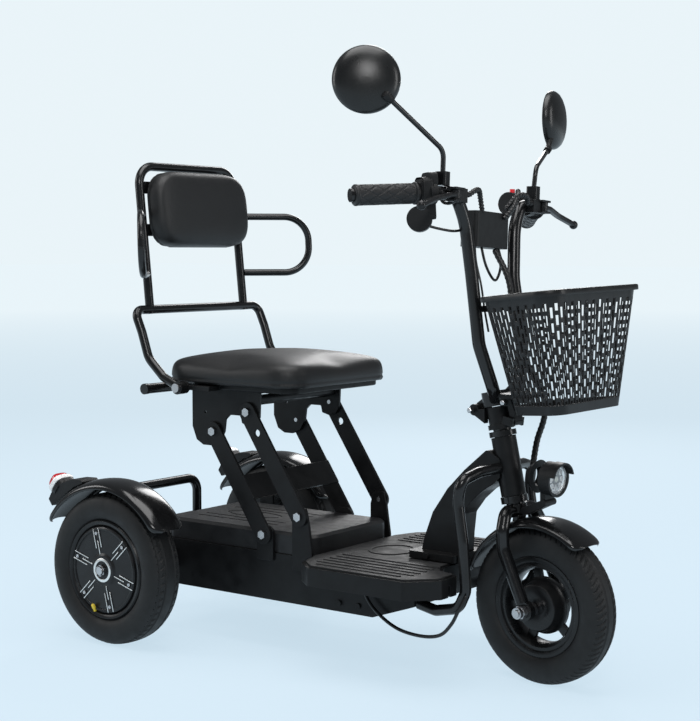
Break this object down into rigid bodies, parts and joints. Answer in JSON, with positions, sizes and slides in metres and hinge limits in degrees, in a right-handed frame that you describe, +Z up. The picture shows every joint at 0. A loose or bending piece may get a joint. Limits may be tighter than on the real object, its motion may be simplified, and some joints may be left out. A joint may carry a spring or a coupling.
{
  "type": "mobility scooter",
  "caption": "Black three-wheel folding electric mobility scooter with padded seat, hooped backrest and armrests, front basket, mirrors and headlight.",
  "frame": {"origin": "bottom centre of the bounding box, on the ground", "axes": "+X forward, +Y to the rider's left, +Z up"},
  "size_m": [1.0175, 0.6352, 1.0091],
  "materials": {
    "frame_paint": "satin",
    "tube_paint": "gloss",
    "cover_plastic": "matte",
    "alloy": "brushed",
    "mat_rubber": "matte",
    "steel": "brushed",
    "gloss_black": "gloss",
    "red_lens": "gloss",
    "cable_rubber": "matte",
    "vinyl": "satin",
    "tyre": "matte",
    "hub_black": "satin",
    "clear_lens": "gloss",
    "basket_plastic": "satin",
    "grip_rubber": "matte",
    "lever_black": "satin",
    "red_plastic": "gloss"
  },
  "bodies": {
    "frame": {"chassis_box": "frame_paint", "battery_cover": "cover_plastic", "battery_pack": "cover_plastic", "motor_controller": "alloy", "foot_deck": "frame_paint", "foot_mat": "mat_rubber", "neck_beam": "frame_paint", "head_tube": "frame_paint", "head_bearings": "steel", "guard_bars": "tube_paint", "rear_handle": "tube_paint", "rear_subframe": "frame_paint", "rear_axle": "steel", "rear_fenders": "gloss_black", "tail_light_housings": "cover_plastic", "tail_light_lenses": "red_lens", "seat_lugs": "frame_paint", "lower_link_bolts": "steel", "underdeck_cable": "cable_rubber"},
    "front_link_pair": {"front_links": "frame_paint"},
    "rear_link_pair": {"rear_links": "frame_paint"},
    "seat": {"seat_brackets": "frame_paint", "seat_base_plate": "frame_paint", "seat_cushion": "vinyl", "seat_rear_tube": "tube_paint", "seat_bolts": "steel"},
    "backrest": {"backrest_lower_hoop": "tube_paint", "backrest_upper_hoop": "tube_paint", "backrest_cushion": "vinyl", "armrests": "tube_paint"},
    "wheel_rear_right": {"right_rear_tyre": "tyre", "right_rear_hub": "hub_black"},
    "wheel_rear_left": {"left_rear_tyre": "tyre", "left_rear_hub": "hub_black"},
    "steering": {"fork": "tube_paint", "fold_lower_clamp": "frame_paint", "headlight": "cover_plastic", "headlight_lens": "clear_lens", "front_fender": "gloss_black", "front_axle": "steel", "drum_brake_plate": "hub_black", "fork_cables": "cable_rubber"},
    "wheel_front": {"front_tyre": "tyre", "front_rim": "hub_black"},
    "brake_arm_body": {"brake_arm": "steel"},
    "latch": {"latch_lever": "frame_paint"},
    "handlebar_body": {"handlebar": "tube_paint", "basket": "basket_plastic", "basket_bracket": "frame_paint", "left_grip": "grip_rubber", "handlebar_controls": "cover_plastic", "mirror_stems": "tube_paint", "handlebar_cables": "cable_rubber"},
    "throttle": {"throttle_grip": "grip_rubber"},
    "lever_right": {"right_brake_lever": "lever_black"},
    "lever_left": {"left_brake_lever": "lever_black"},
    "mirror_right": {"right_mirror": "gloss_black"},
    "mirror_left": {"left_mirror": "gloss_black"},
    "button_horn": {"horn_button": "red_plastic"},
    "button_light": {"light_button": "red_plastic"}
  },
  "joints": [
    {"name": "steering_turn", "type": "hinge", "parent": "frame", "child": "steering", "pos_m": [0.3302, -0.0337, 0.263], "axis": [-0.2116, 0, 0.9774], "range_deg": [-28.7, 41.3]},
    {"name": "front_wheel_spin", "type": "hinge", "parent": "steering", "child": "wheel_front", "pos_m": [0.38187, -0.0361, 0.12747], "axis": [0.1066, 0.994, 0.0231], "continuous": true},
    {"name": "right_wheel_spin", "type": "hinge", "parent": "frame", "child": "wheel_rear_right", "pos_m": [-0.359, -0.2657, 0.135], "axis": [0, 1, 0], "continuous": true},
    {"name": "left_wheel_spin", "type": "hinge", "parent": "frame", "child": "wheel_rear_left", "pos_m": [-0.359, 0.1983, 0.135], "axis": [0, 1, 0], "continuous": true},
    {"name": "seat_fold", "type": "hinge", "parent": "frame", "child": "front_link_pair", "pos_m": [-0.0304, -0.0337, 0.2442], "axis": [0, -1, 0], "range_deg": [0, 40]},
    {"name": "rear_link_fold", "type": "hinge", "parent": "frame", "child": "rear_link_pair", "pos_m": [-0.1096, -0.0337, 0.2053], "axis": [0, -1, 0], "range_deg": [0, 40]},
    {"name": "seat_level", "type": "hinge", "parent": "front_link_pair", "child": "seat", "pos_m": [-0.1447, -0.0337, 0.4166], "axis": [0, -1, 0], "range_deg": [-40, 0]},
    {"name": "backrest_fold", "type": "hinge", "parent": "seat", "child": "backrest", "pos_m": [-0.258, -0.0337, 0.457], "axis": [0, 1, 0], "range_deg": [0, 75]},
    {"name": "handlebar_fold", "type": "hinge", "parent": "steering", "child": "handlebar_body", "pos_m": [0.25521, -0.0297, 0.43705], "axis": [-0.1066, -0.994, -0.0231], "range_deg": [0, 50]},
    {"name": "latch_release", "type": "hinge", "parent": "steering", "child": "latch", "pos_m": [0.32732, -0.03707, 0.42136], "axis": [0.1066, 0.994, 0.0231], "range_deg": [0, 70]},
    {"name": "brake_arm_pull", "type": "hinge", "parent": "steering", "child": "brake_arm_body", "pos_m": [0.37985, -0.03641, 0.15047], "axis": [0.1066, 0.994, 0.0231], "range_deg": [0, 12]},
    {"name": "right_brake_pull", "type": "hinge", "parent": "handlebar_body", "child": "lever_right", "pos_m": [0.29025, -0.16287, 0.78265], "axis": [-0.0002, -0.0519, -0.9987], "range_deg": [0, 12], "stiffness_Nm_per_rad": 0.4},
    {"name": "left_brake_pull", "type": "hinge", "parent": "handlebar_body", "child": "lever_left", "pos_m": [0.29541, 0.10072, 0.76894], "axis": [0.0002, 0.0519, 0.9987], "range_deg": [0, 12], "stiffness_Nm_per_rad": 0.4},
    {"name": "throttle_twist", "type": "hinge", "parent": "handlebar_body", "child": "throttle", "pos_m": [0.25449, -0.1921, 0.78667], "axis": [-0.5444, -0.8378, -0.0411], "range_deg": [0, 60], "stiffness_Nm_per_rad": 0.3},
    {"name": "right_mirror_turn", "type": "hinge", "parent": "handlebar_body", "child": "mirror_right", "pos_m": [0.24087, -0.27844, 0.92987], "axis": [-0.2029, -0.8085, 0.5525], "range_deg": [-20, 20]},
    {"name": "left_mirror_turn", "type": "hinge", "parent": "handlebar_body", "child": "mirror_left", "pos_m": [0.23374, 0.22471, 0.87666], "axis": [-0.324, 0.8962, 0.303], "range_deg": [-20, 20]},
    {"name": "horn_press", "type": "slide", "parent": "handlebar_body", "child": "button_horn", "axis": [-0.0002, -0.0519, -0.9987], "range_m": [0, 0.0015], "stiffness_N_per_m": 400},
    {"name": "light_press", "type": "slide", "parent": "handlebar_body", "child": "button_light", "axis": [0.9998, -0.0195, 0.0008], "range_m": [0, 0.0015], "stiffness_N_per_m": 400}
  ],
  "couplings": [
    {"joint": "rear_link_fold", "follows": "seat_fold", "ratio": 1},
    {"joint": "seat_level", "follows": "seat_fold", "ratio": -1},
    {"joint": "brake_arm_pull", "follows": "left_brake_pull", "ratio": 1}
  ]
}
